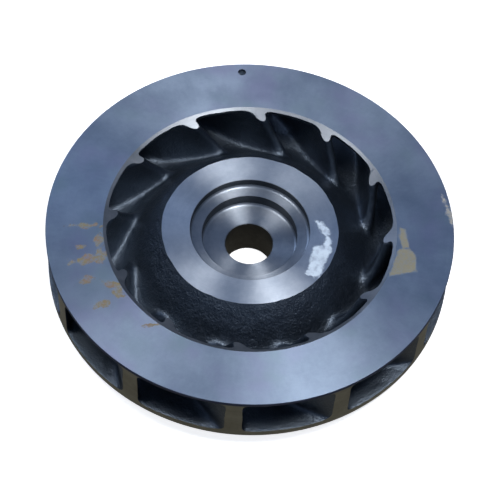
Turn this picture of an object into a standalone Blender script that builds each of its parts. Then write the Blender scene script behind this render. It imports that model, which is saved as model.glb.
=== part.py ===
"""Water pump impeller: one closed casting with twelve swept vanes between a back plate and a shroud.

Metres. The origin is the centre of the boss's bottom face, and +Z runs along the shaft to the eye.
Angles are in degrees and grow anticlockwise, seen from the eye side.
"""

import math

import bmesh
import bpy
from mathutils import Matrix, Vector

# Driving dimensions of the whole casting
OUTER_RADIUS = 0.080
SHROUD_FACE_Z = 0.032
TURNING_STEPS = 72
TURNING_STOCK = 0.001
CUTTER_MARGIN = 0.008

# The eye: the shroud's opening, with a machined cone that also trims the vane noses
EYE_RADIUS = 0.0576
THROAT_RADIUS = 0.0563
EYE_CONE_SLOPE = 22
SHROUD_THICKNESS_AT_RIM = 0.0015
SHROUD_THICKNESS_AT_EYE = 0.0034
EYE_LIP_RADIUS = 0.0014

# The back plate and its hub
BACK_PLATE_BOTTOM_Z = 0.0075
FLOOR_Z_AT_RIM = 0.0108
FLOOR_STRAIGHT_RADIUS = 0.057
FLOOR_STRAIGHT_Z = 0.0110
HUB_RADIUS = 0.0347
HUB_FACE_Z = 0.0287
HUB_FLANK_PULL = (0.048, 0.0158)
FLOOR_PULL = (0.0458, 0.0108)
FLOOR_STEPS = 8
BOSS_RADIUS = 0.0225
BOSS_FILLET = 0.002

# The stepped recess for the shaft nut, and the shaft's bore
OUTER_RECESS_RADIUS = 0.0236
OUTER_RECESS_Z = 0.0243
INNER_RECESS_RADIUS = 0.0189
INNER_RECESS_Z = 0.0183
RECESS_FILLET = 0.0011
BORE_RADIUS = 0.009525
EDGE_CHAMFER = 0.0003

# The vanes
VANE_COUNT = 12
FIRST_VANE_ANGLE = 29.6
VANE_THICKNESS_AT_NOSE = 0.0036
VANE_THICKNESS_AT_RIM = 0.0043
VANE_SINK = 0.0012
VANE_TOP_Z = 0.0313
TRAILING_ANGLE = 29.8
RIM_BLADE_ANGLE = 35
# Radius, angle and blade angle where the vane starts, along the floor and along the shroud
FOOT_START = (0.0480, -15, 22)
TIP_START = (0.0532, -2, 35)
# How far the vane bows back at mid height, at its tip's radius. The bow fades out towards the rim
MID_HEIGHT_BOW = 2.5
# Radius and height of points along the nose, from its toe on the hub up to its tip in the eye
NOSE_POINTS = (
    (0.0445, 0.0115),
    (0.0478, 0.0146),
    (0.0500, 0.0193),
    (0.0516, 0.0242),
    (0.0529, 0.0313),
)
VANE_ROWS = 8
ROW_CROWDING = 1.3
NOSE_SAMPLES = 40
VANE_STATIONS = (0, 0.012, 0.045, 0.12, 0.25, 0.4, 0.55, 0.7, 0.85, 1)
# How much the foot's fillet widens the vane at its nose, and the share of the height that it reaches,
# by side: 1 is the face towards the hub. The fillet fades out towards the rim
FOOT_FILLETS = {1: (0.0095, 0.5), -1: (0.003, 0.2)}
SLOPE_STEP = 1e-4

# Looks of the cast iron
CAST_COLOUR = (0.022, 0.024, 0.029, 1)
CAST_ROUGHNESS = 0.45
CAST_METALLIC = 0.3


def clear_scene():
    for thing in list(bpy.data.objects):
        bpy.data.objects.remove(thing, do_unlink=True)


def new_collection(name):
    collection = bpy.data.collections.new(name)
    bpy.context.scene.collection.children.link(collection)
    return collection


def cast_material():
    material = bpy.data.materials.new("cast_iron")
    material.use_nodes = True
    shader = material.node_tree.nodes["Principled BSDF"]
    shader.inputs["Base Color"].default_value = CAST_COLOUR
    shader.inputs["Roughness"].default_value = CAST_ROUGHNESS
    shader.inputs["Metallic"].default_value = CAST_METALLIC
    return material


def arc(centre_radius, centre_z, radius, start, end, steps):
    """Points of a round corner in a turned profile, from one angle to the other."""
    angles = [math.radians(start + (end - start) * i / steps) for i in range(steps + 1)]
    return [(centre_radius + radius * math.cos(a), centre_z + radius * math.sin(a)) for a in angles]


def bezier(points, share):
    """A point on the cubic curve that the four points pull on."""
    a, b, c, d = (Vector(point) for point in points)
    rest = 1 - share
    return a * rest**3 + b * 3 * rest**2 * share + c * 3 * rest * share**2 + d * share**3


def hub_flank():
    """The cast surface from the hub's edge down to where the floor runs straight."""
    start = (HUB_RADIUS, HUB_FACE_Z)
    end = (FLOOR_STRAIGHT_RADIUS, FLOOR_STRAIGHT_Z)
    pulls = (start, HUB_FLANK_PULL, FLOOR_PULL, end)
    return [tuple(bezier(pulls, i / FLOOR_STEPS)) for i in range(FLOOR_STEPS + 1)]


def floor_z(radius):
    """Height of the passage floor at this radius."""
    points = hub_flank() + [(OUTER_RADIUS, FLOOR_Z_AT_RIM)]
    for (inner, inner_z), (outer, outer_z) in zip(points, points[1:]):
        if radius <= outer:
            break
    return inner_z + (outer_z - inner_z) * (radius - inner) / (outer - inner)


def turned(name, profile, collection):
    """A closed profile at +X, listed down its outer side, turned once round Z."""
    mesh = bpy.data.meshes.new(name)
    edges = [(i, (i + 1) % len(profile)) for i in range(len(profile))]
    mesh.from_pydata([(radius, 0, z) for radius, z in profile], edges, [])
    body = bpy.data.objects.new(name, mesh)
    collection.objects.link(body)
    screw = body.modifiers.new("turn", "SCREW")
    screw.axis = "Z"
    screw.steps = TURNING_STEPS
    screw.render_steps = TURNING_STEPS
    screw.use_merge_vertices = True
    screw.merge_threshold = 1e-5
    screw.use_smooth_shade = True
    return body


def back_plate_and_hub(collection):
    """The back plate, its hub with the stepped recess and the bore, and the boss behind it."""
    blank_radius = OUTER_RADIUS + TURNING_STOCK
    fillet = RECESS_FILLET
    profile = hub_flank()
    profile += [(blank_radius, floor_z(blank_radius)), (blank_radius, BACK_PLATE_BOTTOM_Z)]
    profile += arc(BOSS_RADIUS + BOSS_FILLET, BACK_PLATE_BOTTOM_Z - BOSS_FILLET, BOSS_FILLET, 90, 180, 2)
    profile += [(BOSS_RADIUS, EDGE_CHAMFER), (BOSS_RADIUS - EDGE_CHAMFER, 0)]
    profile += [(BORE_RADIUS + EDGE_CHAMFER, 0), (BORE_RADIUS, EDGE_CHAMFER)]
    profile += [(BORE_RADIUS, INNER_RECESS_Z - EDGE_CHAMFER)]
    profile += [(BORE_RADIUS + EDGE_CHAMFER, INNER_RECESS_Z)]
    profile += arc(INNER_RECESS_RADIUS - fillet, INNER_RECESS_Z + fillet, fillet, -90, 0, 2)
    profile += [(INNER_RECESS_RADIUS, OUTER_RECESS_Z)]
    profile += arc(OUTER_RECESS_RADIUS - fillet, OUTER_RECESS_Z + fillet, fillet, -90, 0, 2)
    profile += [(OUTER_RECESS_RADIUS, HUB_FACE_Z)]
    return turned("impeller_casting", profile, collection)


def shroud_blank(collection):
    """The front shroud as cast, with stock on its face and rim, and a round lip round the eye."""
    blank_radius = OUTER_RADIUS + TURNING_STOCK
    underside_at_rim = SHROUD_FACE_Z - SHROUD_THICKNESS_AT_RIM
    underside_at_eye = SHROUD_FACE_Z - SHROUD_THICKNESS_AT_EYE
    lip_radius = THROAT_RADIUS + EYE_LIP_RADIUS
    profile = [(blank_radius, SHROUD_FACE_Z + TURNING_STOCK), (blank_radius, underside_at_rim)]
    profile += arc(lip_radius, underside_at_eye + EYE_LIP_RADIUS, EYE_LIP_RADIUS, -90, -180, 3)
    profile += [(THROAT_RADIUS, SHROUD_FACE_Z + TURNING_STOCK)]
    return turned("shroud_blank", profile, collection)


def turning_cutter(collection):
    """What the lathe takes off: the rim's stock, the shroud's face and the cone round the eye."""
    inner_radius = HUB_RADIUS + (THROAT_RADIUS - HUB_RADIUS) * 0.6
    drop = (EYE_RADIUS - inner_radius) * math.tan(math.radians(EYE_CONE_SLOPE))
    profile = [
        (OUTER_RADIUS + CUTTER_MARGIN, SHROUD_FACE_Z + CUTTER_MARGIN),
        (OUTER_RADIUS + CUTTER_MARGIN, -CUTTER_MARGIN),
        (OUTER_RADIUS, -CUTTER_MARGIN),
        (OUTER_RADIUS, SHROUD_FACE_Z),
        (EYE_RADIUS, SHROUD_FACE_Z),
        (inner_radius, SHROUD_FACE_Z - drop),
        (inner_radius, SHROUD_FACE_Z + CUTTER_MARGIN),
    ]
    return turned("turning_cutter", profile, collection)


def eased(start, end, start_slope, end_slope, share):
    """A smooth run from start to end, with the slope given at each, as share goes from 0 to 1."""
    rest = 1 - share
    value = start * (1 + 2 * share) * rest**2 + end * share**2 * (3 - 2 * share)
    return value + start_slope * share * rest**2 - end_slope * share**2 * rest


def wrap_angle(radius, start):
    """The vane's angle at this radius along the floor or the shroud, in radians from its own zero."""
    start_radius, start_angle, start_blade_angle = start
    run = OUTER_RADIUS - start_radius
    start_slope = run / (start_radius * math.tan(math.radians(start_blade_angle)))
    end_slope = run / (OUTER_RADIUS * math.tan(math.radians(RIM_BLADE_ANGLE)))
    share = (radius - start_radius) / run
    if share < 0:
        return math.radians(start_angle) + start_slope * share
    return eased(math.radians(start_angle), math.radians(TRAILING_ANGLE), start_slope, end_slope, share)


def camber_point(radius, z):
    """The point midway through the first vane's thickness at this radius and height."""
    height = max((z - floor_z(radius)) / (VANE_TOP_Z - floor_z(radius)), 0)
    foot, tip = wrap_angle(radius, FOOT_START), wrap_angle(radius, TIP_START)
    bow = math.radians(MID_HEIGHT_BOW) * (OUTER_RADIUS - radius) / (OUTER_RADIUS - TIP_START[0])
    angle = foot + height * (tip - foot) - bow * 4 * height * (1 - height)
    angle += math.radians(FIRST_VANE_ANGLE)
    return Vector((radius * math.cos(angle), radius * math.sin(angle), z))


def nose_point(share):
    """Radius and height on the smooth curve through the nose's points, from its toe to its tip."""
    last = len(NOSE_POINTS) - 1
    index = min(int(share * last), last - 1)
    t = share * last - index
    p0, p1, p2, p3 = (Vector(NOSE_POINTS[min(max(index + k, 0), last)]) for k in (-1, 0, 1, 2))
    bend = (p0 * 2 - p1 * 5 + p2 * 4 - p3) * t**2 + (p1 * 3 - p0 - p2 * 3 + p3) * t**3
    return (p1 * 2 + (p2 - p0) * t + bend) / 2


def station(up, along):
    """Radius and height of a point on the vane: up runs from floor to shroud, along from nose to rim."""
    nose_radius, nose_z = nose_point(up)
    rim_radius = OUTER_RADIUS + TURNING_STOCK
    radius = nose_radius + (rim_radius - nose_radius) * along
    foot = floor_z(nose_radius) - VANE_SINK
    nose_height = (nose_z - foot) / (VANE_TOP_Z - foot)
    height = nose_height + (up - nose_height) * along * (2 - along)
    foot = floor_z(radius) - VANE_SINK
    return radius, foot + (VANE_TOP_Z - foot) * height


def half_thickness(point, up, along, nose, side):
    """Half the vane's thickness: round at the nose, and wider at the foot by the mould's fillet."""
    half = (VANE_THICKNESS_AT_NOSE + (VANE_THICKNESS_AT_RIM - VANE_THICKNESS_AT_NOSE) * along) / 2
    from_nose = min((point - other).length for other in nose)
    short = max(0, 1 - from_nose / half)
    width, reach = FOOT_FILLETS[side]
    fillet = width * (1 - along) ** 3 * max(0, 1 - up / reach) ** 2
    return (half + fillet) * math.sqrt(1 - short**2)


def skin_offset(radius, z):
    """The unit vector square to the vane at this radius and height."""
    outward = camber_point(radius + SLOPE_STEP, z) - camber_point(radius - SLOPE_STEP, z)
    upward = camber_point(radius, z + SLOPE_STEP) - camber_point(radius, z - SLOPE_STEP)
    return upward.cross(outward).normalized()


def vane_corners(shell, turn):
    """The vane's vertices by side, row and column. Its two faces share those along the nose."""
    nose = [camber_point(*nose_point(i / NOSE_SAMPLES)) for i in range(NOSE_SAMPLES + 1)]
    corners = {}
    for row in range(VANE_ROWS + 1):
        up = (row / VANE_ROWS) ** ROW_CROWDING
        for column, along in enumerate(VANE_STATIONS):
            radius, z = station(up, along)
            middle = camber_point(radius, z)
            if column == 0:
                corners[-1, row, column] = corners[1, row, column] = shell.verts.new(turn @ middle)
                continue
            square = skin_offset(radius, z)
            for side in (-1, 1):
                offset = square * half_thickness(middle, up, along, nose, side) * side
                corners[side, row, column] = shell.verts.new(turn @ (middle + offset))
    return corners


def add_vane(shell, turn):
    """One closed vane: its two faces, then the caps at its foot, its top and its rim end."""
    corners = vane_corners(shell, turn)
    last_column = len(VANE_STATIONS) - 1
    quads = []
    for column in range(last_column):
        for row in range(VANE_ROWS):
            ring = ((row, column), (row, column + 1), (row + 1, column + 1), (row + 1, column))
            quads += [[corners[side, *place] for place in ring] for side in (-1, 1)]
        for row in (0, VANE_ROWS):
            ring = ((-1, column), (-1, column + 1), (1, column + 1), (1, column))
            quads.append([corners[side, row, place] for side, place in ring])
    for row in range(VANE_ROWS):
        ring = ((-1, row), (-1, row + 1), (1, row + 1), (1, row))
        quads.append([corners[side, place, last_column] for side, place in ring])
    for quad in quads:
        shell.faces.new(dict.fromkeys(quad))


def vane_blanks(collection):
    """All the vanes as cast, before the rim and the eye are turned."""
    shell = bmesh.new()
    for index in range(VANE_COUNT):
        add_vane(shell, Matrix.Rotation(2 * math.pi * index / VANE_COUNT, 3, "Z"))
    bmesh.ops.recalc_face_normals(shell, faces=shell.faces)
    mesh = bpy.data.meshes.new("vane_blanks")
    shell.to_mesh(mesh)
    shell.free()
    blanks = bpy.data.objects.new("vane_blanks", mesh)
    collection.objects.link(blanks)
    return blanks


def combine(casting, other, operation):
    """Joins the other shape to the casting, or cuts it away, and keeps it out of the render."""
    boolean = casting.modifiers.new(other.name, "BOOLEAN")
    boolean.operation = operation
    boolean.solver = "EXACT"
    boolean.object = other
    other.hide_render = True
    other.display_type = "WIRE"


def main():
    clear_scene()
    parts = new_collection("water_pump_impeller")
    helpers = new_collection("casting_blanks_and_cutter")
    casting = back_plate_and_hub(parts)
    casting.data.materials.append(cast_material())
    combine(casting, vane_blanks(helpers), "UNION")
    combine(casting, shroud_blank(helpers), "UNION")
    combine(casting, turning_cutter(helpers), "DIFFERENCE")


main()
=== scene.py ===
"""Looks of the water pump impeller: a painted sand casting with turned faces, on a pale floor.

Metres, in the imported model's frame: the origin is the centre of the boss's bottom face, and +Z runs
along the shaft to the eye. Angles are in degrees and grow anticlockwise, seen from the eye side.
"""

import math

import bmesh
import bpy
import numpy as np
from mathutils import Matrix, Vector, noise


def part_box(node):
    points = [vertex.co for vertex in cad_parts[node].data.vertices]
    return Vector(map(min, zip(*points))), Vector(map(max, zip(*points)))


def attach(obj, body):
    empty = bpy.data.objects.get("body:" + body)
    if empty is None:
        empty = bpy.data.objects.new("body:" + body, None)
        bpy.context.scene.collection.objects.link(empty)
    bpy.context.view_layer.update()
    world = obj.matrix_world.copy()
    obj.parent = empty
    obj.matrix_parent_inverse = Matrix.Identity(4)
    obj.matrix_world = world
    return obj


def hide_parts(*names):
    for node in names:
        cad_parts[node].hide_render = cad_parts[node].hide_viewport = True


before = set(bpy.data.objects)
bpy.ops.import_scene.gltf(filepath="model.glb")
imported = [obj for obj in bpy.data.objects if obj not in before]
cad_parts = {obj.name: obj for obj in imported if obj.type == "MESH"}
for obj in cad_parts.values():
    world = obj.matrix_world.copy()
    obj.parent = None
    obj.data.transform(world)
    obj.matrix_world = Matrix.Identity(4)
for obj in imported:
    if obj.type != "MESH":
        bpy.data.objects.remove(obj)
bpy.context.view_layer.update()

# Driving dimensions of the casting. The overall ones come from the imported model
CAD_NODE = "impeller_casting"
OUTER_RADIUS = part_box(CAD_NODE)[1].x
SHROUD_FACE_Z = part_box(CAD_NODE)[1].z
STOCK = 0.0015

# The eye and the shroud
EYE_RADIUS = 0.0576
THROAT_RADIUS = 0.0563
EYE_CONE_SLOPE = 22
SHROUD_THICKNESS_AT_RIM = 0.0015
SHROUD_THICKNESS_AT_EYE = 0.0034
EYE_LIP_RADIUS = 0.0014

# The back plate and its hub
BACK_PLATE_BOTTOM_Z = 0.0075
FLOOR_Z_AT_RIM = 0.0108
FLOOR_STRAIGHT_RADIUS = 0.057
FLOOR_STRAIGHT_Z = 0.0110
HUB_RADIUS = 0.0347
HUB_FACE_Z = 0.0287
HUB_FLANK_PULL = (0.048, 0.0158)
FLOOR_PULL = (0.0458, 0.0108)
FLOOR_STEPS = 24
BOSS_RADIUS = 0.0225
BOSS_FILLET = 0.002

# The stepped recess for the shaft nut, and the shaft's bore
OUTER_RECESS_RADIUS = 0.0236
OUTER_RECESS_Z = 0.0243
INNER_RECESS_RADIUS = 0.0189
INNER_RECESS_Z = 0.0183
RECESS_FILLET = 0.0011
BORE_RADIUS = 0.009525
BORE_CHAMFER = 0.0003
EDGE_BREAK = 0.00015
FILLET_STEPS = 5
TURNING_STEPS = 288

# The vanes
VANE_COUNT = 12
FIRST_VANE_ANGLE = 29.6
VANE_THICKNESS_AT_NOSE = 0.0036
VANE_THICKNESS_AT_RIM = 0.0043
VANE_SINK = 0.0012
VANE_TOP_Z = 0.0313
TRAILING_ANGLE = 29.8
RIM_BLADE_ANGLE = 35
# Radius, angle and blade angle where the vane starts, along the floor and along the shroud
FOOT_START = (0.0480, -15, 22)
TIP_START = (0.0532, -2, 35)
# How far the vane bows back at mid height, at its tip's radius. The bow fades out towards the rim
MID_HEIGHT_BOW = 2.5
# Radius and height of points along the nose, from its toe on the hub up to its tip in the eye
NOSE_POINTS = (
    (0.0445, 0.0115),
    (0.0478, 0.0146),
    (0.0500, 0.0193),
    (0.0516, 0.0242),
    (0.0529, 0.0313),
)
VANE_ROWS = 20
ROW_CROWDING = 1.3
NOSE_SAMPLES = 60
VANE_COLUMNS = 28
COLUMN_CROWDING = 1.8
# How much the foot's fillet widens the vane at its nose, and the share of the height that it reaches,
# by side: 1 is the face towards the hub. The fillet fades out towards the rim
FOOT_FILLETS = {1: (0.0095, 0.5), -1: (0.003, 0.2)}
SLOPE_STEP = 1e-4

# The skin that the sand leaves
VOXEL = 0.00065
SOFTENING_ROUNDS = 40
SOFTENING_SHARE = 0.5
SHAVE_SHARE = 0.35
# Above this height, this share of the filling is held back, so that the noses' tips stay sharp
SHARP_CORNER_Z = 0.0275
SHARP_CORNER_SHARE = 0.7
SAND_WAVES = ((0.011, 0.00022), (0.0042, 0.00012), (0.0021, 0.00006))
KEPT_TRIANGLES = 0.5
ON_TURNED_FACE = 2e-5
SHARP_EDGE = 32

# The marker's dimple in the shroud face: where, how large at its top and bottom, how deep
DIMPLE_PLACE = (-0.0078, 0.0753)
DIMPLE_RADII = (0.0017, 0.0014)
DIMPLE_DEPTH = 0.0010
DIMPLE_SIDES = 9

# Patches on the faces: x and y of the middle, half length, half width, and the length's direction
OCHRE_STAINS = (
    (-0.0610, -0.0211, 0.0068, 0.0019, 199),
    (-0.0570, -0.0196, 0.0030, 0.0024, 199),
    (-0.0583, -0.0118, 0.0026, 0.0026, 170),
    (-0.0641, -0.0060, 0.0052, 0.0011, 185),
    (-0.0652, -0.0161, 0.0018, 0.0012, 190),
    (-0.0609, -0.0308, 0.0027, 0.0017, 207),
    (-0.0510, -0.0321, 0.0044, 0.0016, 170),
    (-0.0484, -0.0352, 0.0022, 0.0020, 230),
    (-0.0541, -0.0411, 0.0030, 0.0016, 217),
    (-0.0344, -0.0488, 0.0034, 0.0007, 193),
)

# Patches with straight sides: their corners' x and y, anticlockwise
OLIVE_PLATES = (
    ((0.0584, -0.0004), (0.0597, -0.0064), (0.0622, -0.0058), (0.0609, 0.0028), (0.0587, 0.0030)),
    ((0.0545, -0.0201), (0.0653, -0.0167), (0.0647, -0.0090), (0.0625, -0.0065), (0.0584, -0.0069)),
)
CHALKY_PLATES = (
    ((0.0764, 0.0126), (0.0787, 0.0071), (0.0803, 0.0058), (0.0801, 0.0115), (0.0756, 0.0193)),
)
PALE_HUB_PLATES = (
    ((0.0255, 0.0057), (0.0293, -0.0012), (0.0313, -0.0001), (0.0316, 0.0021), (0.0277, 0.0056)),
    ((0.0276, -0.0133), (0.0289, -0.0160), (0.0325, -0.0073), (0.0319, -0.0029), (0.0301, -0.0004)),
    ((0.0228, -0.0197), (0.0283, -0.0202), (0.0314, -0.0093), (0.0285, -0.0053), (0.0253, -0.0060)),
)

# The camera, set by where the shroud face and the rim lie in the photograph
CAMERA_ELEVATION = 56.883
CAMERA_ROLL = 3.93
CAMERA_DISTANCE = 0.720
CAMERA_SLIDE = (0.00052, -0.01011)
CAMERA_LENS = 132.387
CAMERA_SENSOR = 36.0

# The glow of the room round the part, by height: -1 is straight down and 1 is straight up
ROOM_GLOW = (
    (-0.1, (0.16, 0.15, 0.13)),
    (0.0, (0.014, 0.017, 0.024)),
    (0.1, (0.014, 0.017, 0.024)),
    (0.95, (0.19, 0.25, 0.38)),
)
STAGE_REACH = 3.0


def arc(centre_radius, centre_z, radius, start, end, steps=FILLET_STEPS):
    """Points of a round corner in a turned profile, from one angle to the other."""
    angles = [math.radians(start + (end - start) * i / steps) for i in range(steps + 1)]
    return [(centre_radius + radius * math.cos(a), centre_z + radius * math.sin(a)) for a in angles]


def bezier(points, share):
    """A point on the cubic curve that the four points pull on."""
    a, b, c, d = (Vector(point) for point in points)
    rest = 1 - share
    return a * rest**3 + b * 3 * rest**2 * share + c * 3 * rest * share**2 + d * share**3


def hub_flank():
    """The cast surface from the hub's edge down to where the floor runs straight."""
    start = (HUB_RADIUS, HUB_FACE_Z)
    end = (FLOOR_STRAIGHT_RADIUS, FLOOR_STRAIGHT_Z)
    pulls = (start, HUB_FLANK_PULL, FLOOR_PULL, end)
    return [tuple(bezier(pulls, i / FLOOR_STEPS)) for i in range(FLOOR_STEPS + 1)]


FLOOR_POINTS = hub_flank() + [(OUTER_RADIUS, FLOOR_Z_AT_RIM)]


def floor_z(radius):
    """Height of the passage floor at this radius."""
    for (inner, inner_z), (outer, outer_z) in zip(FLOOR_POINTS, FLOOR_POINTS[1:]):
        if radius <= outer:
            break
    return inner_z + (outer_z - inner_z) * (radius - inner) / (outer - inner)


def turned(name, profile):
    """A closed profile at +X, listed down its outer side, turned once round Z."""
    mesh = bpy.data.meshes.new(name)
    edges = [(i, (i + 1) % len(profile)) for i in range(len(profile))]
    mesh.from_pydata([(radius, 0, z) for radius, z in profile], edges, [])
    body = bpy.data.objects.new(name, mesh)
    bpy.context.scene.collection.objects.link(body)
    screw = body.modifiers.new("turn", "SCREW")
    screw.axis = "Z"
    screw.steps = TURNING_STEPS
    screw.render_steps = TURNING_STEPS
    screw.use_merge_vertices = True
    screw.merge_threshold = 1e-6
    return body


def back_plate_blank():
    """The back plate, hub and boss as cast, with stock on all that is turned later."""
    blank_radius = OUTER_RADIUS + STOCK
    pull_radius, pull_z = HUB_FLANK_PULL
    flank_run = (pull_radius - HUB_RADIUS) / (HUB_FACE_Z - pull_z)
    profile = [(0, HUB_FACE_Z + STOCK), (HUB_RADIUS - STOCK * flank_run, HUB_FACE_Z + STOCK)]
    profile += hub_flank()
    profile += [(blank_radius, floor_z(blank_radius)), (blank_radius, BACK_PLATE_BOTTOM_Z - STOCK)]
    profile += [(BOSS_RADIUS + BOSS_FILLET, BACK_PLATE_BOTTOM_Z - BOSS_FILLET - STOCK)]
    profile += [(BOSS_RADIUS + BOSS_FILLET, -STOCK), (0, -STOCK)]
    return turned("back_plate_blank", profile)


def shroud_blank():
    """The front shroud as cast, with stock on its face and rim, and a round lip round the eye."""
    blank_radius = OUTER_RADIUS + STOCK
    underside_at_rim = SHROUD_FACE_Z - SHROUD_THICKNESS_AT_RIM
    underside_at_eye = SHROUD_FACE_Z - SHROUD_THICKNESS_AT_EYE
    lip_radius = THROAT_RADIUS + EYE_LIP_RADIUS
    profile = [(blank_radius, SHROUD_FACE_Z + STOCK), (blank_radius, underside_at_rim)]
    profile += arc(lip_radius, underside_at_eye + EYE_LIP_RADIUS, EYE_LIP_RADIUS, -90, -180)
    profile += [(THROAT_RADIUS, SHROUD_FACE_Z + STOCK)]
    return turned("shroud_blank", profile)


def turned_outline():
    """What the lathe leaves, as a profile of (radius, height, name of the face that starts there)."""
    fillet, edge = RECESS_FILLET, EDGE_BREAK
    cone_foot = EYE_RADIUS - (SHROUD_FACE_Z - HUB_FACE_Z) / math.tan(math.radians(EYE_CONE_SLOPE))
    outline = [
        (EYE_RADIUS, SHROUD_FACE_Z, "shroud_face"),
        (OUTER_RADIUS - edge, SHROUD_FACE_Z, "rim"),
        (OUTER_RADIUS, SHROUD_FACE_Z - edge, "rim"),
        (OUTER_RADIUS, BACK_PLATE_BOTTOM_Z + edge, "rim"),
        (OUTER_RADIUS - edge, BACK_PLATE_BOTTOM_Z, "back_face"),
    ]
    corner = arc(BOSS_RADIUS + BOSS_FILLET, BACK_PLATE_BOTTOM_Z - BOSS_FILLET, BOSS_FILLET, 90, 180)
    outline += [(radius, z, "back_face") for radius, z in corner]
    outline += [
        (BOSS_RADIUS, BORE_CHAMFER, "back_face"),
        (BOSS_RADIUS - BORE_CHAMFER, 0, "back_face"),
        (BORE_RADIUS + BORE_CHAMFER, 0, "back_face"),
        (BORE_RADIUS, BORE_CHAMFER, "bore"),
        (BORE_RADIUS, INNER_RECESS_Z - BORE_CHAMFER, "recess"),
        (BORE_RADIUS + BORE_CHAMFER, INNER_RECESS_Z, "recess"),
    ]
    for radius, floor, top, face in (
        (INNER_RECESS_RADIUS, INNER_RECESS_Z, OUTER_RECESS_Z, "recess"),
        (OUTER_RECESS_RADIUS, OUTER_RECESS_Z, HUB_FACE_Z, "hub_face"),
    ):
        corner = arc(radius - fillet, floor + fillet, fillet, -90, 0)
        outline += [(r, z, "recess") for r, z in corner[:-1]]
        outline += [(*corner[-1], "recess_wall"), (radius, top - edge, "recess")]
        outline.append((radius + edge, top, face))
    outline += [(cone_foot, HUB_FACE_Z, "eye_cone")]
    return outline


def eased(start, end, start_slope, end_slope, share):
    """A smooth run from start to end, with the slope given at each, as share goes from 0 to 1."""
    rest = 1 - share
    value = start * (1 + 2 * share) * rest**2 + end * share**2 * (3 - 2 * share)
    return value + start_slope * share * rest**2 - end_slope * share**2 * rest


def wrap_angle(radius, start):
    """The vane's angle at this radius along the floor or the shroud, in radians from its own zero."""
    start_radius, start_angle, start_blade_angle = start
    run = OUTER_RADIUS - start_radius
    start_slope = run / (start_radius * math.tan(math.radians(start_blade_angle)))
    end_slope = run / (OUTER_RADIUS * math.tan(math.radians(RIM_BLADE_ANGLE)))
    share = (radius - start_radius) / run
    if share < 0:
        return math.radians(start_angle) + start_slope * share
    return eased(math.radians(start_angle), math.radians(TRAILING_ANGLE), start_slope, end_slope, share)


def camber_point(radius, z):
    """The point midway through the first vane's thickness at this radius and height."""
    height = max((z - floor_z(radius)) / (VANE_TOP_Z - floor_z(radius)), 0)
    foot, tip = wrap_angle(radius, FOOT_START), wrap_angle(radius, TIP_START)
    bow = math.radians(MID_HEIGHT_BOW) * (OUTER_RADIUS - radius) / (OUTER_RADIUS - TIP_START[0])
    angle = foot + height * (tip - foot) - bow * 4 * height * (1 - height)
    angle += math.radians(FIRST_VANE_ANGLE)
    return Vector((radius * math.cos(angle), radius * math.sin(angle), z))


def nose_point(share):
    """Radius and height on the smooth curve through the nose's points, from its toe to its tip."""
    last = len(NOSE_POINTS) - 1
    index = min(int(share * last), last - 1)
    t = share * last - index
    p0, p1, p2, p3 = (Vector(NOSE_POINTS[min(max(index + k, 0), last)]) for k in (-1, 0, 1, 2))
    bend = (p0 * 2 - p1 * 5 + p2 * 4 - p3) * t**2 + (p1 * 3 - p0 - p2 * 3 + p3) * t**3
    return (p1 * 2 + (p2 - p0) * t + bend) / 2


def station(up, along):
    """Radius and height of a point on the vane: up runs from floor to shroud, along from nose to rim."""
    nose_radius, nose_z = nose_point(up)
    rim_radius = OUTER_RADIUS + STOCK
    radius = nose_radius + (rim_radius - nose_radius) * along
    foot = floor_z(nose_radius) - VANE_SINK
    nose_height = (nose_z - foot) / (VANE_TOP_Z - foot)
    height = nose_height + (up - nose_height) * along * (2 - along)
    foot = floor_z(radius) - VANE_SINK
    return radius, foot + (VANE_TOP_Z - foot) * height


def half_thickness(point, up, along, nose, side):
    """Half the vane's thickness: round at the nose, and wider at the foot by the mould's fillet."""
    half = (VANE_THICKNESS_AT_NOSE + (VANE_THICKNESS_AT_RIM - VANE_THICKNESS_AT_NOSE) * along) / 2
    from_nose = min((point - other).length for other in nose)
    short = max(0, 1 - from_nose / half)
    width, reach = FOOT_FILLETS[side]
    fillet = width * (1 - along) ** 3 * max(0, 1 - up / reach) ** 2
    return (half + fillet) * math.sqrt(1 - short**2)


def skin_offset(radius, z):
    """The unit vector square to the vane at this radius and height."""
    outward = camber_point(radius + SLOPE_STEP, z) - camber_point(radius - SLOPE_STEP, z)
    upward = camber_point(radius, z + SLOPE_STEP) - camber_point(radius, z - SLOPE_STEP)
    return upward.cross(outward).normalized()


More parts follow.
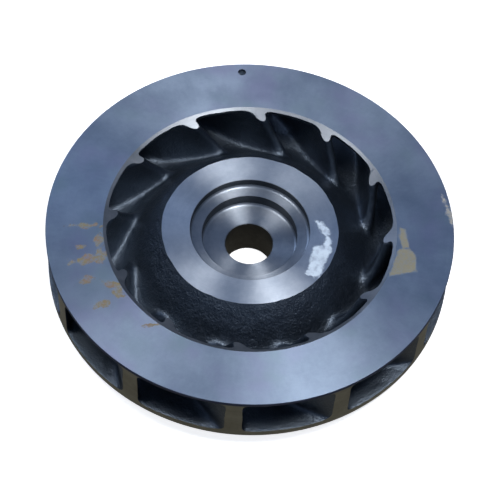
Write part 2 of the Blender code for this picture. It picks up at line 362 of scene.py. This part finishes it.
def first_vane():
    """The first vane as one closed skin: its two faces, then the caps at its foot, top and rim end."""
    shell = bmesh.new()
    nose = [camber_point(*nose_point(i / NOSE_SAMPLES)) for i in range(NOSE_SAMPLES + 1)]
    corners = {}
    for row in range(VANE_ROWS + 1):
        up = (row / VANE_ROWS) ** ROW_CROWDING
        for column in range(VANE_COLUMNS + 1):
            along = (column / VANE_COLUMNS) ** COLUMN_CROWDING
            radius, z = station(up, along)
            middle = camber_point(radius, z)
            if column == 0:
                corners[-1, row, column] = corners[1, row, column] = shell.verts.new(middle)
                continue
            square = skin_offset(radius, z)
            for side in (-1, 1):
                offset = square * half_thickness(middle, up, along, nose, side) * side
                corners[side, row, column] = shell.verts.new(middle + offset)
    quads = []
    for column in range(VANE_COLUMNS):
        for row in range(VANE_ROWS):
            ring = ((row, column), (row, column + 1), (row + 1, column + 1), (row + 1, column))
            quads += [[corners[side, *place] for place in ring] for side in (-1, 1)]
        for row in (0, VANE_ROWS):
            ring = ((-1, column), (-1, column + 1), (1, column + 1), (1, column))
            quads.append([corners[side, row, place] for side, place in ring])
    for row in range(VANE_ROWS):
        ring = ((-1, row), (-1, row + 1), (1, row + 1), (1, row))
        quads.append([corners[side, place, VANE_COLUMNS] for side, place in ring])
    for quad in quads:
        shell.faces.new(dict.fromkeys(quad))
    bmesh.ops.recalc_face_normals(shell, faces=shell.faces)
    mesh = bpy.data.meshes.new("first_vane")
    shell.to_mesh(mesh)
    shell.free()
    return mesh


def evaluated_mesh(thing):
    """A copy of the thing's mesh with its modifiers applied."""
    graph = bpy.context.evaluated_depsgraph_get()
    return bpy.data.meshes.new_from_object(thing.evaluated_get(graph))


def apply_modifiers(thing):
    thing.data = evaluated_mesh(thing)
    thing.modifiers.clear()


def casting_blank():
    """Back plate, vanes and shroud as one closed skin of even quads, before the sand's marks."""
    shell = bmesh.new()
    for blank in (back_plate_blank(), shroud_blank()):
        mesh = evaluated_mesh(blank)
        shell.from_mesh(mesh)
        bpy.data.objects.remove(blank)
        bpy.data.meshes.remove(mesh)
    vane = first_vane()
    for index in range(VANE_COUNT):
        mesh = vane.copy()
        mesh.transform(Matrix.Rotation(2 * math.pi * index / VANE_COUNT, 4, "Z"))
        shell.from_mesh(mesh)
        bpy.data.meshes.remove(mesh)
    bpy.data.meshes.remove(vane)
    joined = bpy.data.meshes.new("impeller_blank")
    shell.to_mesh(joined)
    shell.free()
    blank = bpy.data.objects.new("impeller_blank", joined)
    bpy.context.scene.collection.objects.link(blank)
    remesh = blank.modifiers.new("skin", "REMESH")
    remesh.mode = "VOXEL"
    remesh.voxel_size = VOXEL
    apply_modifiers(blank)
    return blank


def vertex_rows(mesh, values="co"):
    """Places or normals of a mesh's vertices, one row each."""
    source = mesh.vertex_normals if values == "vector" else mesh.vertices
    flat = np.empty(len(mesh.vertices) * 3, np.float32)
    source.foreach_get(values, flat)
    return flat.reshape(-1, 3).astype(float)


def place_vertices(mesh, rows):
    mesh.vertices.foreach_set("co", rows.astype(np.float32).ravel())
    mesh.update()


def soften(mesh):
    """Fills inner corners with the round that a sand mould gives, and wears outer edges a little."""
    ends = np.empty(len(mesh.edges) * 2, np.int32)
    mesh.edges.foreach_get("vertices", ends)
    first, second = ends.reshape(-1, 2).T
    count = len(mesh.vertices)
    degree = np.bincount(first, minlength=count) + np.bincount(second, minlength=count)
    for _ in range(SOFTENING_ROUNDS):
        rows = vertex_rows(mesh)
        normals = vertex_rows(mesh, "vector")
        around = [
            np.bincount(first, rows[second, axis], count) + np.bincount(second, rows[first, axis], count)
            for axis in range(3)
        ]
        pull = np.stack(around, 1) / degree[:, None] - rows
        inward = np.minimum((pull * normals).sum(1), 0)
        pull -= normals * (inward * (1 - SHAVE_SHARE))[:, None]
        outward = np.maximum((pull * normals).sum(1), 0)
        sharp = np.clip((rows[:, 2] - SHARP_CORNER_Z) / VOXEL, 0, 1) * SHARP_CORNER_SHARE
        pull -= normals * (outward * sharp)[:, None]
        place_vertices(mesh, rows + SOFTENING_SHARE * pull)


def roughen(mesh):
    """The slight waves that packed sand leaves on the casting."""
    rows, normals = vertex_rows(mesh), vertex_rows(mesh, "vector")
    rise = np.zeros(len(rows))
    for length, height in SAND_WAVES:
        rise += height * np.array([noise.noise(Vector(row / length)) for row in rows])
    place_vertices(mesh, rows + normals * rise[:, None])


def thin_out(blank):
    """Leaves fewer triangles where the skin is nearly flat."""
    thinner = blank.modifiers.new("thinner", "DECIMATE")
    thinner.ratio = KEPT_TRIANGLES
    apply_modifiers(blank)


def dimple_cutter():
    """A blunt cone that stands in the shroud face where it was marked."""
    top_radius, bottom_radius = DIMPLE_RADII
    shell = bmesh.new()
    depth = 2 * DIMPLE_DEPTH
    bmesh.ops.create_cone(
        shell,
        cap_ends=True,
        segments=DIMPLE_SIDES,
        radius1=bottom_radius,
        radius2=2 * top_radius - bottom_radius,
        depth=depth,
    )
    bmesh.ops.translate(shell, verts=shell.verts, vec=(*DIMPLE_PLACE, SHROUD_FACE_Z))
    mesh = bpy.data.meshes.new("dimple")
    shell.to_mesh(mesh)
    shell.free()
    cutter = bpy.data.objects.new("dimple", mesh)
    bpy.context.scene.collection.objects.link(cutter)
    return cutter


def cut(blank, cutter, operation):
    boolean = blank.modifiers.new(cutter.name, "BOOLEAN")
    boolean.operation = operation
    boolean.solver = "MANIFOLD"
    boolean.object = cutter
    apply_modifiers(blank)
    bpy.data.objects.remove(cutter)


def turn_casting(blank):
    """Cuts the blank to the turned outline, as on the lathe, and marks the shroud face."""
    outline = [(radius, z) for radius, z, _ in turned_outline()]
    cut(blank, turned("turned_outline", outline), "INTERSECT")
    cut(blank, dimple_cutter(), "DIFFERENCE")


def face_names(mesh):
    """For each polygon, the number of the outline's stretch that it lies on, or -1 where it is cast."""
    rows = vertex_rows(mesh)
    place = np.stack([np.hypot(rows[:, 0], rows[:, 1]), rows[:, 2]], 1)
    outline = turned_outline()
    corners = np.array([[radius, z] for radius, z, _ in outline])
    loops = np.empty(len(mesh.loops), np.int32)
    mesh.loops.foreach_get("vertex_index", loops)
    starts = np.empty(len(mesh.polygons), np.int32)
    mesh.polygons.foreach_get("loop_start", starts)
    worst = []
    for index, start in enumerate(corners):
        end = corners[(index + 1) % len(corners)]
        run = end - start
        share = np.clip((place - start) @ run / (run @ run), 0, 1)
        off = np.linalg.norm(place - start - share[:, None] * run, axis=1)
        worst.append(np.maximum.reduceat(off[loops], starts))
    worst = np.stack(worst, 1)
    nearest = worst.argmin(1)
    return np.where(worst.min(1) < ON_TURNED_FACE, nearest, -1)


def give_materials(blank):
    """Puts the paint on what is cast and each turned finish on its own face."""
    names = list(MATERIALS)
    blank.data.materials.clear()
    for name in names:
        blank.data.materials.append(MATERIALS[name]())
    stretch = face_names(blank.data)
    outline = turned_outline()
    slots = [names.index(FACE_FINISH[face]) for _, _, face in outline] + [0]
    blank.data.polygons.foreach_set("material_index", np.array(slots, np.int32)[stretch])


def shade(mesh):
    """Smooth, with a sharp edge at each corner and wherever one finish ends."""
    mesh.shade_smooth()
    mesh.set_sharp_from_angle(angle=math.radians(SHARP_EDGE))
    shell = bmesh.new()
    shell.from_mesh(mesh)
    for edge in shell.edges:
        if len({face.material_index for face in edge.link_faces}) > 1:
            edge.smooth = False
    shell.to_mesh(mesh)
    shell.free()


class Graph:
    """Shorthand for building one material's nodes."""

    def __init__(self, name):
        self.material = bpy.data.materials.new(name)
        self.material.use_nodes = True
        self.tree = self.material.node_tree
        self.shader = self.tree.nodes["Principled BSDF"]
        self.place = self.add("TexCoord").outputs["Object"]

    def feed(self, socket, value):
        if isinstance(value, bpy.types.NodeSocket):
            self.tree.links.new(value, socket)
        else:
            socket.default_value = value

    def add(self, kind, inputs=(), **settings):
        node = self.tree.nodes.new("ShaderNode" + kind)
        for key, value in settings.items():
            setattr(node, key, value)
        for key, value in dict(inputs).items():
            self.feed(node.inputs[key], value)
        return node

    def math(self, operation, *values):
        node = self.add("Math", dict(enumerate(values)), operation=operation)
        return node.outputs[0]

    def vector(self, operation, *values, output=0):
        node = self.add("VectorMath", dict(enumerate(values)), operation=operation)
        return node.outputs[output]

    def noise(self, size, place=None, detail=2.0, roughness=0.5, stretch=None):
        """Noise from 0 to 1 whose lumps have about this size, in metres."""
        place = place or self.place
        if stretch:
            place = self.vector("MULTIPLY", place, stretch)
        inputs = {"Vector": place, "Scale": 1 / size, "Detail": detail, "Roughness": roughness}
        return self.add("TexNoise", inputs).outputs["Fac"]

    def ramp(self, value, low, high, start=0.0, end=1.0):
        """Start below low, end above high, and smooth between."""
        inputs = {"Value": value, "From Min": low, "From Max": high, "To Min": start, "To Max": end}
        return self.add("MapRange", inputs, interpolation_type="SMOOTHSTEP").outputs[0]

    def mix(self, share, first, second):
        node = self.add("Mix", {0: share, 6: first, 7: second}, data_type="RGBA")
        return node.outputs[2]

    def blot(self, patch, ragged):
        """1 inside a patch of a face with uneven edges, and 0 outside it."""
        x, y, length, width, turn = patch
        place = self.vector("SUBTRACT", self.place, (x, y, 0))
        turned_back = {"Vector": place, "Angle": -math.radians(turn)}
        place = self.add("VectorRotate", turned_back, rotation_type="Z_AXIS").outputs[0]
        place = self.vector("MULTIPLY", place, (1 / length, 1 / width, 0))
        reach = self.math("ADD", self.vector("LENGTH", place, output=1), ragged)
        return self.ramp(reach, 0.8, 1.15, 1.0, 0.0)

    def plate(self, corners, ragged):
        """1 inside a patch with straight sides, and 0 outside it. The raggedness is in metres."""
        depths = []
        for (x, y), (next_x, next_y) in zip(corners, corners[1:] + corners[:1]):
            inward = Vector((y - next_y, next_x - x, 0)).normalized()
            offset = self.vector("SUBTRACT", self.place, (x, y, 0))
            depths.append(self.vector("DOT_PRODUCT", offset, inward, output=1))
        depth = self.gathered(depths, "MINIMUM")
        return self.ramp(self.math("ADD", depth, ragged), -0.0005, 0.0006)

    def gathered(self, values, operation):
        """The least or the greatest of the values."""
        while len(values) > 1:
            values = [self.math(operation, values[0], values[1])] + values[2:]
        return values[0]

    def blots(self, patches, ragged):
        """1 inside any of the round patches."""
        return self.gathered([self.blot(patch, ragged) for patch in patches], "MAXIMUM")

    def plates(self, patches, ragged):
        """1 inside any of the patches with straight sides."""
        return self.gathered([self.plate(patch, ragged) for patch in patches], "MAXIMUM")

    def ragged(self, size, reach):
        """Noise round 0, to add to a distance so that an edge runs unevenly."""
        centred = self.math("SUBTRACT", self.noise(size, detail=5, roughness=0.65), 0.5)
        return self.math("MULTIPLY", centred, reach)

    def shade(self, **inputs):
        for key, value in inputs.items():
            self.feed(self.shader.inputs[key.replace("_", " ").title().replace("Ior", "IOR")], value)


def rgb(red, green, blue):
    return (red, green, blue, 1.0)


def ring_place(graph, along, across):
    """Coordinates that run round the axis: noise on them is stretched into turning marks."""
    flat = graph.vector("MULTIPLY", graph.place, (1, 1, 0))
    radius = graph.vector("LENGTH", flat, output=1)
    around = graph.vector("SCALE", graph.vector("NORMALIZE", flat))
    around.node.inputs["Scale"].default_value = along
    height = graph.add("SeparateXYZ", {0: graph.place}).outputs["Z"]
    depth = graph.math("MULTIPLY", graph.math("SUBTRACT", radius, height), across)
    lift = graph.add("CombineXYZ", {"Z": depth}).outputs[0]
    return graph.vector("ADD", around, lift)


class TurnedFinish(Graph):
    """Bare iron as a lathe leaves it: fine rings, faint bands and cloudy oxide."""

    def __init__(self, name, colour, pale, roughness, anisotropy, rings=1.0):
        super().__init__(name)
        fine = self.noise(1.0, ring_place(self, 6.0, 2200), detail=2, roughness=0.6)
        bands = self.noise(1.0, ring_place(self, 2.5, 300), detail=2)
        clouds = self.noise(0.013, detail=5, roughness=0.62)
        specks = self.noise(0.0016, detail=3, roughness=0.7)
        tone = 0.5
        strengths = ((fine, 0.25 * rings), (bands, 0.3 * rings), (clouds, 1.0), (specks, 0.35))
        for marks, strength in strengths:
            tone = self.math("MULTIPLY_ADD", self.math("SUBTRACT", marks, 0.5), strength, tone)
        self.colour = self.mix(self.ramp(tone, 0.1, 0.9), colour, pale)
        self.rough = self.math("MULTIPLY_ADD", self.math("SUBTRACT", clouds, 0.5), 0.2, roughness)
        self.metal = 1.0
        self.shade(anisotropic=anisotropy, anisotropic_rotation=0.25)
        tangent = self.add("Tangent", direction_type="RADIAL", axis="Z").outputs[0]
        self.feed(self.shader.inputs["Tangent"], tangent)
        bump = self.add("Bump", {"Height": fine, "Distance": 0.00002 * rings, "Strength": 0.6})
        self.feed(self.shader.inputs["Normal"], bump.outputs[0])

    def tint(self, mask, colour):
        self.colour = self.mix(mask, self.colour, colour)

    def stain(self, mask, colour, roughness=0.75):
        """A duller, less metallic colour over the metal: rust and dried dirt on the shroud, pale patches
        on the hub.
        """
        self.tint(mask, colour)
        rise = self.math("SUBTRACT", roughness, self.rough)
        self.rough = self.math("MULTIPLY_ADD", mask, rise, self.rough)
        self.metal = self.math("MULTIPLY", self.math("MULTIPLY_ADD", mask, -0.9, 1.0), self.metal)

    def finished(self):
        self.shade(base_color=self.colour, roughness=self.rough, metallic=self.metal)
        return self.material


def oxidised_finish(name):
    """Turned iron under a thin blue-grey oxide that is purple and green in places."""
    dark, pale = rgb(0.255, 0.32, 0.415), rgb(0.355, 0.43, 0.54)
    finish = TurnedFinish(name, dark, pale, 0.46, 0.7, rings=0.35)
    purple = finish.ramp(finish.noise(0.021, detail=3), 0.42, 0.75)
    finish.tint(finish.math("MULTIPLY", purple, 0.6), rgb(0.31, 0.315, 0.48))
    aside = finish.vector("ADD", finish.place, (0.3, 0.1, 0))
    green = finish.ramp(finish.noise(0.017, aside, detail=3), 0.5, 0.8)
    finish.tint(finish.math("MULTIPLY", green, 0.6), rgb(0.25, 0.35, 0.39))
    return finish


def back_finish():
    return oxidised_finish("turned_back").finished()


def shroud_finish():
    """The shroud's face, with rust and dried dirt on it."""
    finish = oxidised_finish("turned_shroud")
    patchy = finish.ramp(finish.noise(0.0014, detail=4, roughness=0.7), 0.3, 0.62, 0.15, 0.95)
    redder = finish.ramp(finish.noise(0.0045), 0.45, 0.62)
    rust = finish.mix(redder, rgb(0.26, 0.205, 0.09), rgb(0.27, 0.165, 0.085))
    ochre = finish.blots(OCHRE_STAINS, finish.ragged(0.0024, 4.0))
    finish.stain(finish.math("MULTIPLY", ochre, patchy), rust)
    even = finish.math("MULTIPLY_ADD", patchy, 0.45, 0.5)
    olive = finish.plates(OLIVE_PLATES, finish.ragged(0.0022, 0.003))
    finish.stain(finish.math("MULTIPLY", olive, even), rgb(0.30, 0.265, 0.165))
    chalky = finish.plates(CHALKY_PLATES, finish.ragged(0.0022, 0.006))
    finish.stain(finish.math("MULTIPLY", chalky, patchy), rgb(0.42, 0.39, 0.33))
    return finish.finished()


def hub_finish():
    """The hub face: the brightest of the turned ones, with paler, bluish-white patches."""
    finish = TurnedFinish("turned_hub", rgb(0.42, 0.48, 0.56), rgb(0.60, 0.65, 0.72), 0.38, 0.8)
    pale_patch = finish.plates(PALE_HUB_PLATES, finish.ragged(0.0022, 0.0045))
    mottled = finish.ramp(finish.noise(0.0026, detail=4, roughness=0.7), 0.3, 0.58, 0.45, 0.95)
    finish.stain(finish.math("MULTIPLY", pale_patch, mottled), rgb(0.80, 0.91, 1.0), 0.5)
    return finish.finished()


def recess_finish():
    """The recess's two floors."""
    dark, pale = rgb(0.26, 0.30, 0.35), rgb(0.40, 0.43, 0.48)
    return TurnedFinish("turned_recess", dark, pale, 0.38, 0.85).finished()


def wall_painted_shade_finish():
    """The recess's upright walls: rougher than its floors, and painted far darker as shade."""
    # Painted shade: these turned walls get a far darker grey than the floors, for the shade in the
    # recess.
    dark, pale = rgb(0.046, 0.054, 0.063), rgb(0.092, 0.103, 0.117)
    return TurnedFinish("turned_wall_painted_shade", dark, pale, 0.5, 0.5).finished()


def eye_finish():
    dark, pale = rgb(0.18, 0.20, 0.22), rgb(0.28, 0.295, 0.32)
    return TurnedFinish("turned_eye", dark, pale, 0.42, 0.4).finished()


def rim_finish():
    """Vane ends and the back plate's edge are brownish; the shroud's thin edge is like its face."""
    dark, pale = rgb(0.24, 0.233, 0.19), rgb(0.425, 0.42, 0.35)
    finish = TurnedFinish("turned_rim", dark, pale, 0.5, 0.3)
    height = finish.add("SeparateXYZ", {0: finish.place}).outputs["Z"]
    edge_z = SHROUD_FACE_Z - SHROUD_THICKNESS_AT_RIM
    finish.tint(finish.ramp(height, edge_z - 0.0006, edge_z + 0.0002), rgb(0.08, 0.10, 0.175))
    return finish.finished()


def bore_painted_shade_finish():
    # Painted shade: the bored iron is given a near-black colour, for the shade inside the hole.
    dark, pale = rgb(0.055, 0.055, 0.05), rgb(0.12, 0.12, 0.108)
    return TurnedFinish("bored_hole_painted_shade", dark, pale, 0.5, 0.3).finished()


def paint_finish():
    """Black dip paint over the sand's grain."""
    graph = Graph("painted_casting")
    grain = graph.noise(0.0009, detail=4, roughness=0.65)
    pits = graph.noise(0.0034, detail=3, roughness=0.6)
    clouds = graph.noise(0.018, detail=3)
    height = graph.math("MULTIPLY_ADD", pits, 1.0, grain)
    shade = graph.ramp(clouds, 0.3, 0.7)
    graph.shade(base_color=graph.mix(shade, rgb(0.0012, 0.0022, 0.0042), rgb(0.0035, 0.0058, 0.0098)))
    graph.shade(ior=2.25, specular_tint=rgb(0.68, 0.82, 1.0))
    graph.shade(roughness=graph.ramp(grain, 0.35, 0.7, 0.34, 0.50))
    bump = graph.add("Bump", {"Height": height, "Distance": 0.00032, "Strength": 0.8})
    graph.feed(graph.shader.inputs["Normal"], bump.outputs[0])
    return graph.material


MATERIALS = {
    "cast": paint_finish,
    "shroud": shroud_finish,
    "back": back_finish,
    "hub": hub_finish,
    "recess": recess_finish,
    "wall": wall_painted_shade_finish,
    "eye": eye_finish,
    "rim": rim_finish,
    "bore": bore_painted_shade_finish,
}
FACE_FINISH = {
    "shroud_face": "shroud",
    "rim": "rim",
    "back_face": "back",
    "bore": "bore",
    "recess": "recess",
    "recess_wall": "wall",
    "hub_face": "hub",
    "eye_cone": "eye",
}


def make_impeller():
    """The visible casting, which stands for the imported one."""
    blank = casting_blank()
    soften(blank.data)
    roughen(blank.data)
    thin_out(blank)
    turn_casting(blank)
    blank.name = blank.data.name = "impeller"
    give_materials(blank)
    shade(blank.data)
    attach(blank, "root")
    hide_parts(CAD_NODE)
    return blank


def pale_finish(name, glow):
    """Matt white with a glow of its own, for what the part stands on and in front of."""
    graph = Graph(name)
    graph.shade(base_color=rgb(0.9, 0.9, 0.9), roughness=0.8)
    graph.shade(emission_color=rgb(1, 1, 1), emission_strength=glow)
    return graph.material


def make_floor():
    """A plain pale floor, far larger than the part, that shows in none of its reflections."""
    bpy.ops.mesh.primitive_plane_add(size=2 * STAGE_REACH)
    floor = bpy.context.object
    floor.name = "floor"
    floor.data.materials.append(pale_finish("pale_floor", 0.8))
    floor.visible_glossy = False


def make_backdrop():
    """A pale wall round the floor for low views. It neither lights the part nor shows in it."""
    bpy.ops.mesh.primitive_cylinder_add(
        vertices=64,
        radius=STAGE_REACH,
        depth=2 * STAGE_REACH,
        end_fill_type="NOTHING",
    )
    backdrop = bpy.context.object
    backdrop.name = "backdrop"
    backdrop.data.materials.append(pale_finish("pale_backdrop", 1.0))
    backdrop.visible_glossy = False
    backdrop.visible_diffuse = False
    backdrop.visible_shadow = False


def make_camera():
    """The photograph's viewing angle, tilt and distance, aimed past the centre of the shroud face."""
    elevation, roll = math.radians(CAMERA_ELEVATION), math.radians(CAMERA_ROLL)
    back = Vector((0, -math.cos(elevation), math.sin(elevation)))
    right = Vector((1, 0, 0))
    up = back.cross(right)
    tilted_right = right * math.cos(roll) + up * math.sin(roll)
    tilted_up = up * math.cos(roll) - right * math.sin(roll)
    data = bpy.data.cameras.new("camera")
    data.sensor_width = CAMERA_SENSOR
    data.lens = CAMERA_LENS
    data.clip_start = 0.01
    camera = bpy.data.objects.new("camera", data)
    bpy.context.scene.collection.objects.link(camera)
    camera.matrix_world = Matrix((tilted_right, tilted_up, back)).transposed().to_4x4()
    slide = right * CAMERA_SLIDE[0] + up * CAMERA_SLIDE[1]
    camera.location = Vector((0, 0, SHROUD_FACE_Z)) + back * CAMERA_DISTANCE + slide
    bpy.context.scene.camera = camera


def make_light(name, azimuth, elevation, distance, size, power, colour=(1, 1, 1)):
    """A soft rectangular light that faces the part from this direction."""
    data = bpy.data.lights.new(name, "AREA")
    data.shape = "RECTANGLE"
    data.size, data.size_y = size
    data.energy = power
    data.color = colour
    light = bpy.data.objects.new(name, data)
    bpy.context.scene.collection.objects.link(light)
    a, e = math.radians(azimuth), math.radians(elevation)
    away = Vector((math.cos(a) * math.cos(e), math.sin(a) * math.cos(e), math.sin(e)))
    light.location = away * distance
    light.rotation_euler = away.to_track_quat("Z", "Y").to_euler()


def make_room():
    """A dim room: a blue-grey ceiling, dark walls and, in reflections, a warm grey ground."""
    world = bpy.data.worlds.new("studio")
    world.use_nodes = True
    tree = world.node_tree
    direction = tree.nodes.new("ShaderNodeTexCoord")
    axes = tree.nodes.new("ShaderNodeSeparateXYZ")
    share = tree.nodes.new("ShaderNodeMapRange")
    share.inputs["From Min"].default_value = -1
    glow = tree.nodes.new("ShaderNodeValToRGB")
    stops = glow.color_ramp.elements
    while len(stops) < len(ROOM_GLOW):
        stops.new(1.0)
    for stop, (height, colour) in zip(stops, ROOM_GLOW):
        stop.position = (height + 1) / 2
        stop.color = rgb(*colour)
    tree.links.new(direction.outputs["Generated"], axes.inputs[0])
    tree.links.new(axes.outputs["Z"], share.inputs["Value"])
    tree.links.new(share.outputs[0], glow.inputs["Fac"])
    tree.links.new(glow.outputs["Color"], tree.nodes["Background"].inputs["Color"])
    bpy.context.scene.world = world


def make_lights():
    bpy.context.scene.view_settings.view_transform = "Standard"
    make_light("ceiling_left", 178, 66, 1.3, (0.4, 0.4), 3.8)
    make_light("ceiling_right", 335, 74, 1.3, (0.35, 0.35), 8.0)
    make_light("window", 135, 28, 1.5, (0.6, 0.5), 2.9, (0.55, 0.70, 1.0))


make_camera()
make_room()
make_lights()
make_floor()
make_backdrop()
make_impeller()
